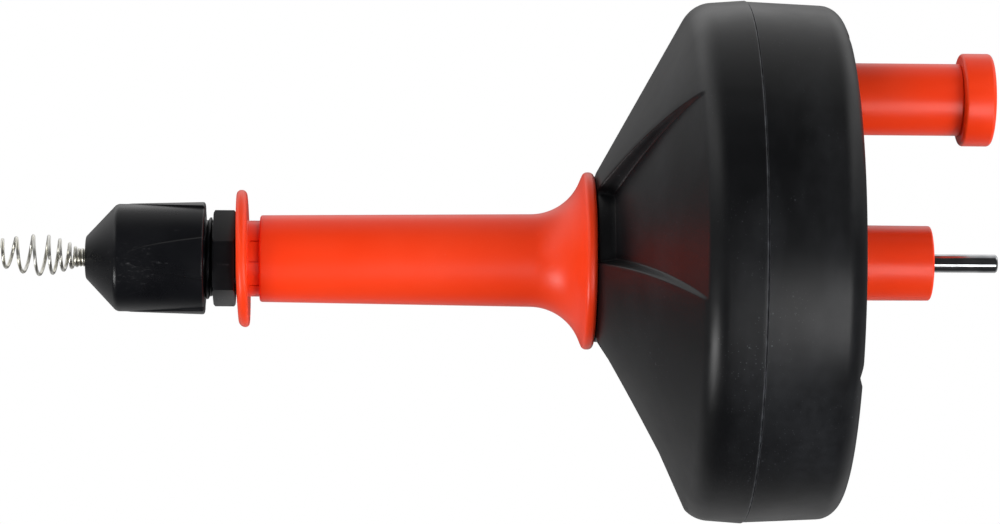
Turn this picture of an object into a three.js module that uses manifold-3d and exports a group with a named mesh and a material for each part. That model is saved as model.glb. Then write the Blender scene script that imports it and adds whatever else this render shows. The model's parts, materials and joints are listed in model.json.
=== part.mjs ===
// A drum drain auger, held in one hand: red sleeve, black cable drum, drill shank, crank knob and cable chuck.
// Millimetres. X is the spin axis with the cable tip at -X and the shank at +X, and Z is up, towards the knob.
// The origin is on the spin axis, in the middle of the hand grip.
import * as THREE from "three";
import { mergeVertices } from "three/addons/utils/BufferGeometryUtils.js";
import Module from "manifold-3d";

const wasm = await Module();
wasm.setup();

// ---- Driving dimensions ----
const gap = 0.3; // between pieces that touch
const wall = 2.5; // thickness of the moulded shells
const cableRadius = 3.25;
const neckRadius = 9;
const neckBore = 6.5;
const gripRadius = 15.3; // at the front end of the sleeve
const gripRearRadius = 16.4; // where the flare begins
const gripFront = -58.9;
const flareStart = 36.7;
const flareRadius = 18.8; // of the arc from the sleeve to its lip
const lipRadius = 31.5;
const gripRear = 59.1;
const guardRadius = 24.5;
const guardFront = -67.2;
const guardRear = -63.5;
const collarRadius = 13.45;
const hexAcrossFlats = 30;
const hexFront = -75.3;
const hexRear = -67.5;
const threadRadius = 14.5;
const threadPitch = 2.5;
const noseTip = -120.3;
const noseRear = -78.3;
const noseRadius = 19;
const drumFront = 59.4;
const drumSeam = 112;
const drumRear = 145.9;
const drumRadius = 92.8; // at the seam
const hubRadius = 28.8; // of the drum's front hub
const driveHubRadius = 13.45;
const driveHubRear = 179.2;
const shankRadius = 3.25;
const shankRear = 203.4;
const crankRadius = 58.3; // from the spin axis to the knob's axis
const knobRadius = 12.8;
const knobCapRadius = 16.5;
const knobCapFront = 189.4;
const knobRear = 200.5;
const tipFront = -150.4;
const leadFront = -124.9;
const recessAngles = [24, 144, 264]; // degrees round the spin axis, from -Y towards +Z
const grooveAngles = [63.5, 153.5, 243.5, 333.5];
const shellScrewAngles = [18.5, 108.5, 198.5, 288.5];
const hubScrewAngles = [0, 120, 240];
const shellScrewCircle = 78;
const hubScrewCircle = 18.6;
const grooveWidth = 9.5;
const grooveDepth = 1.8;

// ---- Materials ----
const paint = (color, roughness, metalness) => new THREE.MeshStandardMaterial({ color, roughness, metalness });
const red = paint(0xe23a22, 0.45, 0);
const black = paint(0x1a1b1d, 0.55, 0);
const nylon = paint(0xd9d6c8, 0.6, 0);
const steel = paint(0xb4b6b8, 0.3, 1);
const zinc = paint(0xc9c6b8, 0.35, 1);
const brass = paint(0xb08d4a, 0.35, 1);

// ---- Helpers ----
const radians = THREE.MathUtils.degToRad;
const group = new THREE.Group();

function addMesh(name, geometry, material, parent = group) {
  const mesh = new THREE.Mesh(geometry, material);
  mesh.name = name;
  parent.add(mesh);
  return mesh;
}

// A closed geometry as a manifold-3d solid, facing outwards.
function solid(geometry) {
  const bare = geometry.clone();
  bare.deleteAttribute("normal");
  bare.deleteAttribute("uv");
  const merged = mergeVertices(bare, 1e-4);
  const made = new wasm.Manifold(
    new wasm.Mesh({
      numProp: 3,
      vertProperties: new Float32Array(merged.attributes.position.array),
      triVerts: new Uint32Array(merged.index.array),
    }),
  );
  return made;
}

function geometryOf(manifold) {
  const mesh = manifold.getMesh();
  const geometry = new THREE.BufferGeometry();
  geometry.setAttribute("position", new THREE.BufferAttribute(new Float32Array(mesh.vertProperties), 3));
  geometry.setIndex(new THREE.BufferAttribute(new Uint32Array(mesh.triVerts), 1));
  return geometry;
}

// A solid of revolution about X. Each point is [x, radius], and the outline is closed by itself.
function turned(points, segments = 48) {
  const open = points[0][1] === 0 && points.at(-1)[1] === 0;
  const loop = open ? [...points] : [...points, points[0]];
  const area = points.reduce((sum, [x, r], i) => {
    const [nextX, nextR] = points[(i + 1) % points.length];
    return sum + x * nextR - nextX * r;
  }, 0);
  if (area > 0) loop.reverse();
  const outline = loop.map(([x, r]) => new THREE.Vector2(r, x));
  return new THREE.LatheGeometry(outline, segments).rotateZ(-Math.PI / 2);
}

// A ring with a rectangular section.
const ring = (x0, x1, inner, outer, segments) =>
  turned([[x0, inner], [x1, inner], [x1, outer], [x0, outer]], segments);

// A plain or chamfered rod.
function rod(x0, x1, radius, chamfer = 0, segments = 24) {
  const points = [[x0, 0], [x0, radius], [x1 - chamfer, radius]];
  if (chamfer > 0) points.push([x1, radius - chamfer]);
  points.push([x1, 0]);
  return turned(points, segments);
}

// Points of an arc in the [x, radius] plane, angles in degrees.
function arc(x, r, radius, from, to, steps) {
  return Array.from({ length: steps + 1 }, (_, i) => {
    const angle = radians(from + ((to - from) * i) / steps);
    return [x + radius * Math.cos(angle), r + radius * Math.sin(angle)];
  });
}

// A prism along X with the outline [[y, z], ...].
function prism(outline, x0, x1) {
  const shape = new THREE.Shape(outline.map(([y, z]) => new THREE.Vector2(y, z)));
  const geometry = new THREE.ExtrudeGeometry(shape, { depth: x1 - x0, bevelEnabled: false });
  const turnedUp = new THREE.Matrix4().set(0, 0, 1, x0, 1, 0, 0, 0, 0, 1, 0, 0, 0, 0, 0, 1);
  return geometry.applyMatrix4(turnedUp);
}

function hexagon(acrossFlats, phase = 0) {
  const corner = acrossFlats / 2 / Math.cos(Math.PI / 6);
  return Array.from({ length: 6 }, (_, i) => {
    const angle = radians(phase + 60 * i);
    return [-corner * Math.cos(angle), corner * Math.sin(angle)];
  });
}

// Where a point at an angle round the spin axis lies, from -Y towards +Z.
const around = (angle, radius) => [-radius * Math.cos(radians(angle)), radius * Math.sin(radians(angle))];

function moved(geometry, y, z) {
  return geometry.clone().translate(0, y, z);
}

const cut = (from, ...tools) => tools.reduce((rest, tool) => rest.subtract(tool), from);
const join = (first, ...others) => others.reduce((all, other) => all.add(other), first);

// ---- Sleeve and what is in it: the body that the hand holds ----
const frontBushOuter = 11.4;
const rearBushOuter = 13;
const collarRear = -46;
const bushFront = -66.5;
const rearBushFront = 22;
const rearBushRear = 52;

function gripSleeve() {
  const flareCentre = gripRearRadius + flareRadius;
  const lip = 1.8;
  const outer = [
    ...arc(gripFront + 0.8, gripRadius - 0.8, 0.8, 180, 90, 2),
    ...arc(flareStart, flareCentre, flareRadius, -90, -22, 6),
    ...arc(gripRear - lip, lipRadius - lip, lip, 120, 0, 3),
  ];
  const inner = [
    [gripRear, 27],
    [gripRear - 4, 26],
    ...arc(flareStart + 2, flareCentre - 1.5, flareRadius + 1.4, -40, -88, 3),
    [rearBushFront + 12, rearBushOuter + 1],
    [rearBushFront, rearBushOuter + gap],
    [rearBushFront - gap, 11.8],
    [collarRear + 1, 11.8],
    [collarRear + 1, collarRadius + 0.2],
    [gripFront, collarRadius + 0.2],
  ];
  return turned([...outer, ...inner], 32);
}

function gripFrontFlange() {
  const edge = (guardRear - guardFront) / 2;
  const profile = [
    [guardFront, frontBushOuter + 0.2],
    [guardFront, guardRadius - edge],
    ...arc(guardFront + edge, guardRadius - edge, edge, 150, 30, 3),
    [guardRear, guardRadius - edge],
    [guardRear, collarRadius],
    [collarRear - 1, collarRadius],
    [collarRear, collarRadius - 0.8],
    [collarRear, frontBushOuter + 0.2],
  ];
  const body = solid(turned(profile, 40));
  const slotWidth = 0.8;
  const slotFront = guardRear + 0.5;
  const slot = new THREE.BoxGeometry(collarRear + 1 - slotFront, 2 * collarRadius + 2, slotWidth);
  const slots = [20, 80, 140].map((angle) =>
    solid(slot.clone().translate((collarRear + 1 + slotFront) / 2, 0, 0).rotateX(radians(-angle))),
  );
  return geometryOf(cut(body, ...slots));
}

addMesh("grip_sleeve", gripSleeve(), red);
addMesh("grip_front_flange", gripFrontFlange(), red);
addMesh("grip_front_bush", ring(bushFront, collarRear, neckRadius + 0.3, frontBushOuter, 24), nylon);
addMesh("grip_rear_bush", ring(rearBushFront, rearBushRear, neckRadius + 0.3, rearBushOuter, 24), nylon);

// ---- Drum shells ----
const coneSlope = 1.785; // radius gained per millimetre along X
const coneFrontRadius = 30.1;
const frontWall = 3.2; // thickness of the front hub, which carries the neck
const shoulderRadius = 11;
const sideDraft = radians(4.2);
const rearDraft = radians(2.6);
const rearRounding = 7.8;
const shellSegments = 48;

// The front shell's outline, from the axis to the axis. The cone and the shoulder are moved inwards by inset.
function frontProfile(inset, start, end, steps) {
  const cone = Math.atan(coneSlope);
  const coneStart = [drumFront + inset * Math.sin(cone), coneFrontRadius - inset * Math.cos(cone)];
  const sideEnd = drumRadius - inset / Math.cos(sideDraft);
  const sideSlope = Math.tan(sideDraft);
  // The cone and the side meet here, before the shoulder is rounded.
  const cornerX =
    (sideEnd - sideSlope * drumSeam - coneStart[1] + coneSlope * coneStart[0]) / (coneSlope - sideSlope);
  const cornerR = coneStart[1] + coneSlope * (cornerX - coneStart[0]);
  const radius = shoulderRadius - inset;
  const setBack = radius * Math.tan((cone - sideDraft) / 2);
  const tangentX = cornerX + setBack * Math.cos(sideDraft);
  const tangentR = cornerR + setBack * Math.sin(sideDraft);
  const centre = [tangentX + radius * Math.sin(sideDraft), tangentR - radius * Math.cos(sideDraft)];
  const degrees = THREE.MathUtils.radToDeg;
  const shoulder = arc(...centre, radius, 90 + degrees(cone), 90 + degrees(sideDraft), steps);
  return [[start[0], 0], start, ...shoulder, end, [end[0], 0]];
}

// The tool that makes one recess: between swirled sides, in front of a cone that is steeper than the shell's.
// Grown by some millimetres it is what the cavity must keep clear of, so that the recess has a wall.
function recess(centreAngle, growth) {
  const floorFront = drumFront + 6.1 + growth * 1.1;
  const floorSlope = 2.2;
  const innerRadius = hubRadius - growth;
  const outerRadius = 94;
  const steps = 7;
  const side = (inner, outer, sign) =>
    Array.from({ length: steps + 1 }, (_, i) => {
      const radius = innerRadius + ((outerRadius - innerRadius) * i) / steps;
      const widen = sign * THREE.MathUtils.radToDeg(growth / radius);
      const share = (radius - hubRadius) / (outerRadius - hubRadius);
      return around(centreAngle + inner + (outer - inner) * share + widen, radius);
    });
  const upper = side(31, 15, 1);
  const lower = side(-24, -33, -1);
  const spread = (centre, radius, from, to) =>
    [0.25, 0.5, 0.75].map((t) => around(centre + from + (to - from) * t, radius));
  const outline = [
    ...upper,
    ...spread(centreAngle, outerRadius + 1.5, 15, -33),
    ...lower.reverse(),
    ...spread(centreAngle, innerRadius, -24, 31),
  ];
  const sector = solid(prism(outline.reverse(), drumFront - 5, drumSeam));
  const floorReach = 96;
  const infront = turned(
    [
      [drumFront - 4, 0],
      [floorFront, 0],
      [floorFront, innerRadius],
      [floorFront + (floorReach - innerRadius) / floorSlope, floorReach],
      [drumFront - 4, floorReach],
    ],
    shellSegments,
  );
  return sector.intersect(solid(infront));
}

const neckHole = neckRadius + 0.3;
const lipOverlap = 6;
const screwPostRadius = 4.4;
const screwPostSplit = 126;
const screwShaftRadius = 1.9;

function frontShell() {
  const seam = drumSeam - gap / 2;
  const front = [drumFront, coneFrontRadius];
  const cavityFront = [drumFront + frontWall, coneFrontRadius - 3];
  const cavityRear = [seam + 1, drumRadius - wall];
  const shell = solid(turned(frontProfile(0, front, [seam, drumRadius], 4), shellSegments));
  const cavity = solid(turned(frontProfile(wall, cavityFront, cavityRear, 3), shellSegments));
  const recesses = recessAngles.map((angle) => recess(angle, 0));
  const recessWalls = recessAngles.map((angle) => recess(angle, wall));
  const hollow = cut(cavity, ...recessWalls);
  const neck = solid(rod(drumFront - 1, drumFront + 20, neckHole, 0, 48));
  const posts = [];
  const pilots = [];
  for (const angle of shellScrewAngles) {
    const [y, z] = around(angle, shellScrewCircle);
    posts.push(solid(moved(rod(84, screwPostSplit, screwPostRadius, 0, 12), y, z)));
    pilots.push(solid(moved(rod(100, screwPostSplit + 1, screwShaftRadius, 0, 8), y, z)));
  }
  // The posts start inside the cone and end behind the seam.
  const postEnd = [screwPostSplit + 1, drumRadius];
  const reach = solid(turned(frontProfile(0, front, postEnd, 4), shellSegments));
  const ribs = posts.map((post) => post.intersect(reach));
  const walls = join(shell.subtract(hollow), ...ribs);
  return geometryOf(cut(walls, neck, ...recesses, ...pilots));
}

function rearShell() {
  const seam = drumSeam + gap / 2;
  const rearSide = drumRadius - (drumRear - seam) * Math.tan(rearDraft);
  const outer = [
    [seam, 0],
    [seam, drumRadius - 0.4],
    ...arc(drumRear - rearRounding, rearSide - rearRounding, rearRounding, 87, 0, 4),
    [drumRear, 0],
  ];
  const innerRounding = rearRounding - wall;
  const inner = [
    [seam - 1, 0],
    [seam - 1, drumRadius - 0.4 - wall],
    ...arc(drumRear - rearRounding, rearSide - rearRounding, innerRounding, 87, 0, 3),
    [drumRear - wall, 0],
  ];
  const lipOuter = drumRadius - wall - gap - 0.6;
  const lip = turned(
    [
      [seam - lipOverlap, lipOuter - 1.5],
      [seam + 3, lipOuter - 1.5],
      [seam + 3, drumRadius - 1.5],
      [seam, drumRadius - 1.5],
      [seam, lipOuter],
      [seam - lipOverlap, lipOuter],
    ],
    shellSegments,
  );
  const shell = solid(turned(outer, shellSegments)).subtract(solid(turned(inner, shellSegments)));
  const hubHole = solid(rod(drumRear - 10, drumRear + 1, driveHubRadius + 0.3, 0, 48));
  let made = shell.add(solid(lip)).subtract(hubHole);
  // V grooves run out along the rear face to its rounded rim.
  const grooveLength = 64;
  for (const angle of grooveAngles) {
    const groove = new THREE.CylinderGeometry(1, 1, grooveLength, 4);
    groove.scale(grooveDepth, 1, grooveWidth / 2);
    groove.translate(drumRear, drumRadius - grooveLength / 2, 0);
    made = made.subtract(solid(groove.rotateX(radians(180 - angle))));
  }
  for (const angle of shellScrewAngles) {
    const [y, z] = around(angle, shellScrewCircle);
    const post = moved(rod(screwPostSplit + gap, drumRear - 1, screwPostRadius, 0, 12), y, z);
    const pilot = moved(rod(screwPostSplit - 1, drumRear + 1, screwShaftRadius + 0.4, 0, 8), y, z);
    const sink = moved(rod(drumRear - 3, drumRear + 1, screwPostRadius - 0.2, 0, 12), y, z);
    made = made.add(solid(post)).subtract(solid(pilot)).subtract(solid(sink));
  }
  for (const angle of hubScrewAngles) {
    const [y, z] = around(angle, hubScrewCircle);
    made = made.subtract(solid(moved(rod(drumRear - 10, drumRear + 1, 1.8, 0, 10), y, z)));
  }
  const crankBoss = solid(moved(rod(drumRear - 7, drumRear - 1, 8.5, 0, 20), 0, crankRadius));
  const crankHole = solid(moved(rod(drumRear - 9, drumRear + 1, 3.4, 0, 16), 0, crankRadius));
  return geometryOf(made.add(crankBoss).subtract(crankHole));
}

addMesh("front_shell", frontShell(), black);
addMesh("rear_shell", rearShell(), black);

// ---- Neck: the tube that the sleeve turns on ----
const neckFront = -81;
const neckRear = 76;
const neckShoulderRadius = 12.2;

addMesh(
  "neck_tube",
  turned(
    [
      [neckFront, neckBore],
      [neckRear, neckBore],
      [neckRear, neckRadius],
      [drumFront - gap, neckRadius],
      [drumFront - gap, neckShoulderRadius],
      [drumFront - 4, neckShoulderRadius],
      [drumFront - 4, neckRadius],
      [neckFront, neckRadius],
    ],
    28,
  ),
  steel,
);
const washerFront = drumFront + frontWall + gap;
addMesh("neck_washer", ring(washerFront, washerFront + 1.5, neckHole, 15, 32), zinc);
const neckNut = solid(prism(hexagon(26), washerFront + 1.8, washerFront + 8.8));
const neckNutBore = solid(rod(washerFront, washerFront + 12, neckHole, 0, 40));
addMesh("neck_lock_nut", geometryOf(neckNut.subtract(neckNutBore)), zinc);

// ---- Chuck ----
const spigotFront = -102;
const colletBore = 8.9;
const hexCorner = hexAcrossFlats / 2 / Math.cos(Math.PI / 6);

function chuckBody() {
  const chamfer = 1.2;
  const bevel = turned(
    [
      [hexFront, 0],
      [hexFront, hexCorner - chamfer],
      [hexFront + chamfer / 2, hexCorner],
      [hexRear - chamfer / 2, hexCorner],
      [hexRear, hexCorner - chamfer],
      [hexRear, 0],
    ],
    36,
  );
  const hex = solid(prism(hexagon(hexAcrossFlats, 20), hexFront, hexRear)).intersect(solid(bevel));
  const crest = [
    [0, threadRadius - 0.9],
    [0.45, threadRadius],
    [1.25, threadRadius],
    [1.7, threadRadius - 0.9],
  ];
  const threads = Array.from({ length: 3 }, (_, i) =>
    crest.map(([x, r]) => [hexFront - 0.6 - 1.7 - threadPitch * i + x, r]),
  ).reverse();
  const rootRadius = threadRadius - 0.9;
  const spigot = turned(
    [
      [spigotFront, 0],
      [spigotFront, rootRadius],
      ...threads.flat(),
      [hexFront + 1, rootRadius],
      [hexFront + 1, 0],
    ],
    32,
  );
  const bores = [
    rod(spigotFront - 1, neckFront, colletBore, 0, 24),
    rod(neckFront - gap, hexRear + 1, neckHole, 0, 24),
    rod(hexRear - 1.4, hexRear + 1, 13, 0, 24),
  ];
  return geometryOf(cut(join(hex, solid(spigot)), ...bores.map(solid)));
}

addMesh("chuck_body", chuckBody(), black);
addMesh("thrust_washer", ring(hexRear - 1.1, hexRear - 0.1, neckHole, 12.6, 24), steel);

// ---- Collet and nose nut ----
const colletRear = -83.5;
const coneFace = -117.2; // front end of the collet's jaws

function collet() {
  const body = solid(
    turned(
      [
        [coneFace, 3.6],
        [colletRear, 3.6],
        [colletRear, colletBore - 0.3],
        [spigotFront - gap, colletBore - 0.3],
        [spigotFront - gap, 11.6],
        [-105, 11.6],
        [coneFace, 5.6],
      ],
      40,
    ),
  );
  const slotRear = -90;
  const slot = new THREE.BoxGeometry(slotRear - coneFace + 2, 30, 1);
  slot.translate((slotRear + coneFace - 2) / 2, 0, 0);
  const slots = [0, 90].map((angle) => solid(slot.clone().rotateX(radians(angle))));
  return geometryOf(cut(body, ...slots));
}

function noseNut() {
  const coneRear = -109.4;
  const cavity = [
    [noseRear, threadRadius + 0.3],
    [-102.6, threadRadius + 0.3],
    [-105.2, 12.2],
    [coneFace - 0.4, 6],
    [coneFace - 0.4, 3.9],
    [noseTip, 3.9],
  ];
  const outside = [
    [noseTip, 6.9],
    [noseTip + 0.5, 7.7],
    [coneRear, noseRadius - 0.5],
    [coneRear + 1.2, noseRadius],
    [noseRear - 0.6, noseRadius],
    [noseRear, noseRadius - 0.6],
  ];
  const body = solid(turned([...outside, ...cavity], 40));
  // Four tongues stand proud of the cylinder: each is a point at the front and widens to the rear.
  const tongueTip = -105.3;
  const tongueHalfAngle = 21.5;
  const steps = 5;
  const rise = (x) => 0.35 + (0.93 - 0.35) * ((x - tongueTip) / (noseRear - tongueTip));
  const tongues = [0, 90, 180, 270].map((centre) => {
    const outline = [];
    for (let i = 0; i <= steps; i += 1) {
      const share = i / steps;
      const x = tongueTip + (noseRear - 0.4 - tongueTip) * share;
      outline.push([x, share ** 0.45 * tongueHalfAngle]);
    }
    return tongue(centre, outline, rise);
  });
  return geometryOf(join(body, ...tongues));
}

// A raised patch on the nut, lofted from its tip to the rear over [x, half angle] stations.
function tongue(centre, stations, rise) {
  const across = 4;
  const base = noseRadius - 1.2;
  const positions = [];
  const faces = [];
  const ringLength = 2 * (across + 1);
  for (const [x, halfAngle] of stations) {
    const half = Math.max(halfAngle, 0.8);
    for (const inside of [false, true]) {
      for (let j = 0; j <= across; j += 1) {
        const share = inside ? across - j : j;
        const angle = centre - half + (2 * half * share) / across;
        const [y, z] = around(angle, inside ? base : noseRadius + rise(x));
        positions.push(x, y, z);
      }
    }
  }
  for (let s = 0; s < stations.length - 1; s += 1) {
    for (let j = 0; j < ringLength; j += 1) {
      const a = s * ringLength + j;
      const b = s * ringLength + ((j + 1) % ringLength);
      faces.push(a, a + ringLength, b, b, a + ringLength, b + ringLength);
    }
  }
  const last = (stations.length - 1) * ringLength;
  for (let j = 0; j < across; j += 1) {
    const opposite = ringLength - 1 - j;
    faces.push(j, j + 1, opposite, j + 1, opposite - 1, opposite);
    faces.push(last + j, last + opposite, last + j + 1, last + j + 1, last + opposite, last + opposite - 1);
  }
  const geometry = new THREE.BufferGeometry();
  geometry.setAttribute("position", new THREE.BufferAttribute(new Float32Array(positions), 3));
  geometry.setIndex(faces);
  return solid(geometry);
}

addMesh("collet", collet(), brass);
addMesh("nose_nut", noseNut(), black);

// ---- Drive hub and shank ----
const shankFront = 136;
const flatAngles = [14.6, 134.6, 254.6];
const flatDistance = 3.04; // from the axis to each flat of the shank
const ringGroove = 2.5;

function driveHub() {
  const flange = drumRear - wall - gap;
  const body = solid(
    turned(
      [
        [flange - 3.2, 0],
        [flange - 3.2, 22],
        [flange, 22],
        [flange, driveHubRadius],
        [driveHubRear - 0.8, driveHubRadius],
        [driveHubRear, driveHubRadius - 0.8],
        [driveHubRear, 0],
      ],
      36,
    ),
  );
  const bore = solid(rod(flange - 5, driveHubRear + 1, shankRadius + gap, 0, 24));
  const holes = hubScrewAngles.map((angle) => {
    const [y, z] = around(angle, hubScrewCircle);
    return solid(moved(rod(flange - 5, flange + 1, 1.6, 0, 10), y, z));
  });
  return geometryOf(cut(body, bore, ...holes));
}

function driveShank() {
  const round = turned(
    [
      [shankFront, 0],
      [shankFront, shankRadius],
      [shankFront + 1, shankRadius],
      [shankFront + 1, ringGroove],
      [shankFront + 2.2, ringGroove],
      [shankFront + 2.2, shankRadius],
      [shankRear - 1, shankRadius],
      [shankRear - 0.35, shankRadius - 0.35],
      [shankRear, shankRadius - 1],
      [shankRear, 0],
    ],
    24,
  );
  const flat = new THREE.BoxGeometry(40, 10, 4).translate(driveHubRear + gap + 20, 0, flatDistance + 2);
  const flats = flatAngles.map((angle) => solid(flat.clone().rotateX(radians(90 - angle))));
  return geometryOf(cut(solid(round), ...flats));
}

function shankRing() {
  const body = solid(ring(shankFront + 1.2, shankFront + 2, ringGroove + 0.2, 6.5, 28));
  const mouth = new THREE.BoxGeometry(4, 3.6, 8).translate(shankFront + 1.6, 0, -6);
  return geometryOf(body.subtract(solid(mouth)));
}

addMesh("drive_hub", driveHub(), red);
addMesh("drive_shank", driveShank(), steel);
addMesh("shank_ring", shankRing(), zinc);

// ---- Crank knob and the shoulder bolt that it turns on ----
const crank = new THREE.Group();
crank.position.z = crankRadius;
group.add(crank);
const pinRadius = 4;
const pinThread = 3;
const boltHeadFront = 181.3;
const knobFront = drumRear + 1.9;

addMesh(
  "crank_pin",
  turned(
    [
      [drumRear - 10.6, 0],
      [drumRear - 10.6, pinThread],
      [drumRear + gap, pinThread],
      [drumRear + gap, pinRadius],
      [boltHeadFront, pinRadius],
      [boltHeadFront, 6.5],
      [boltHeadFront + 3, 6.5],
      [boltHeadFront + 3.5, 6],
      [boltHeadFront + 3.5, 0],
    ],
    20,
  ),
  steel,
  crank,
);
const crankWasher = ring(drumRear + 0.4, drumRear + 1.6, pinRadius + 0.2, 9, 24);
addMesh("crank_washer", crankWasher, zinc, crank);
const crankNut = solid(prism(hexagon(10), drumRear - 10.4, drumRear - 7 - gap));
const crankNutBore = solid(rod(drumRear - 16, drumRear - 6, pinThread + 0.3, 0, 24));
addMesh("crank_nut", geometryOf(crankNut.subtract(crankNutBore)), zinc, crank);

const capPlugRadius = 10.5;
addMesh(
  "knob_sleeve",
  turned(
    [
      [knobFront, pinRadius + 0.3],
      [boltHeadFront - 0.3, pinRadius + 0.3],
      [boltHeadFront - 0.3, capPlugRadius + 0.3],
      [knobCapFront - gap, capPlugRadius + 0.3],
      [knobCapFront - gap, knobRadius],
      [knobFront + 0.6, knobRadius],
      [knobFront, knobRadius - 0.6],
    ],
    32,
  ),
  red,
  crank,
);
const capEdge = 1;
addMesh(
  "knob_cap",
  turned(
    [
      [boltHeadFront + 4, 0],
      [boltHeadFront + 4, capPlugRadius],
      [knobCapFront, capPlugRadius],
      ...arc(knobCapFront + capEdge, knobCapRadius - capEdge, capEdge, 180, 90, 2),
      ...arc(knobRear - capEdge, knobCapRadius - capEdge, capEdge, 90, 0, 2),
      [knobRear, 0],
    ],
    32,
  ),
  red,
  crank,
);

// ---- Screws ----
function panHeadScrew(seat, length, shaftRadius, headRadius) {
  const headHeight = headRadius * 0.6;
  const body = solid(
    turned(
      [
        [seat - length, 0],
        [seat - length + shaftRadius, shaftRadius],
        [seat, shaftRadius],
        [seat, headRadius],
        [seat + headHeight * 0.5, headRadius],
        [seat + headHeight, headRadius * 0.6],
        [seat + headHeight, 0],
      ],
      12,
    ),
  );
  const blade = new THREE.BoxGeometry(headHeight, headRadius * 1.1, headRadius * 0.25);
  blade.translate(seat + headHeight, 0, 0);
  const cross = [0, 90].map((angle) => solid(blade.clone().rotateX(radians(angle))));
  return geometryOf(cut(body, ...cross));
}

function addScrews(name, angles, circle, seat, length, shaftRadius, headRadius) {
  angles.forEach((angle, i) => {
    const [y, z] = around(angle, circle);
    const screw = panHeadScrew(seat, length, shaftRadius, headRadius);
    addMesh(`${name}_${i + 1}`, screw, zinc).position.set(0, y, z);
  });
}

const shellScrewSeat = drumRear - 3 + gap;
addScrews("shell_screw", shellScrewAngles, shellScrewCircle, shellScrewSeat, 38, screwShaftRadius - 0.2, 3.7);
addScrews("hub_screw", hubScrewAngles, hubScrewCircle, drumRear + gap, 6.6, 1.3, 2.8);

// ---- Cable ----
const coilOuterRadius = 69.3; // to the middle of the outermost turns
const coilPitch = 6.5;
const turnsInLayer = 6;
const layers = 3;
const coilRear = 131.3;
const stepsInTurn = 12;
const exitTurns = 1.25;
const leadRear = neckRear + 1;

// Where the middle of the coiled cable is after some turns: three layers, then a spiral in to the neck.
function coilPoint(turns) {
  const laid = turnsInLayer * layers;
  const layer = Math.min(Math.floor(turns / turnsInLayer), layers - 1);
  const inLayer = Math.min(turns, laid) - layer * turnsInLayer;
  const blend = layer > 0 ? Math.min(inLayer, 1) : 1;
  const across = layer % 2 === 0 ? inLayer : turnsInLayer - inLayer;
  let radius = coilOuterRadius - coilPitch * (layer - (layer > 0 ? 1 - blend : 0));
  let x = coilRear - coilPitch * across;
  if (turns > laid) {
    const share = (turns - laid) / exitTurns;
    const eased = share * share * (3 - 2 * share);
    radius *= 1 - eased;
    x += (leadRear + gap - x) * share ** 1.7;
  }
  const angle = 2 * Math.PI * turns;
  return new THREE.Vector3(x, -radius * Math.cos(angle), radius * Math.sin(angle));
}

class PointCurve extends THREE.Curve {
  constructor(at) {
    super();
    this.at = at;
  }
  getPoint(t) {
    return this.at(t);
  }
}

function circle(radius, sides) {
  const points = Array.from({ length: sides }, (_, i) => {
    const angle = (2 * Math.PI * i) / sides;
    return new THREE.Vector2(radius * Math.cos(angle), radius * Math.sin(angle));
  });
  return new THREE.Shape(points);
}

const coilTurns = turnsInLayer * layers + exitTurns;
const coilPath = new PointCurve((t) => coilPoint(t * coilTurns));
const coil = new THREE.ExtrudeGeometry(circle(cableRadius - 0.2, 5), {
  steps: Math.round(coilTurns * stepsInTurn),
  extrudePath: coilPath,
});
addMesh("cable_coil", coil, zinc);

// The clip that holds the cable's inner end to the rear wall.
const clipThickness = 3;
const clipHeight = 11;
const clip = new THREE.BoxGeometry(drumRear - wall - gap - (coilRear - 2.4), clipHeight, clipThickness);
clip.translate((drumRear - wall - gap + coilRear - 2.4) / 2, -coilOuterRadius, -clipThickness / 2 - 1.3);
addMesh("cable_anchor", clip, zinc);

addMesh("cable_lead", rod(leadFront, leadRear, cableRadius, 0, 16), zinc);

// The tip: the wire opens into a bulb and closes again.
const wireRadius = 0.6;
const tipTurns = 7.5;
const tipSteps = 12;
function tipPoint(t) {
  const x = leadFront - gap - wireRadius + (tipFront + 2 * wireRadius + gap - leadFront) * t ** 1.25;
  const bulge = 2.65 + 4.25 * Math.sin(Math.PI * Math.min(t * 1.12, 1) * 0.72) ** 1.6;
  const radius = t > 0.72 ? bulge - 2.3 * (t - 0.72) / 0.28 : bulge;
  const angle = -2 * Math.PI * tipTurns * t ** 0.8;
  return new THREE.Vector3(x, -radius * Math.cos(angle), radius * Math.sin(angle));
}
const tip = new THREE.ExtrudeGeometry(circle(wireRadius, 5), {
  steps: Math.round(tipTurns * tipSteps),
  extrudePath: new PointCurve(tipPoint),
});
addMesh("bulb_tip", tip, zinc);

export default group;
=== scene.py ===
"""Looks of a drum drain auger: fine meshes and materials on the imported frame.

X is the spin axis, from the cable's tip to the shank. Z is up, and -Y is the side that the camera sees.
"""
import json
import math

import bmesh
import bpy
from mathutils import Matrix, Vector


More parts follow.
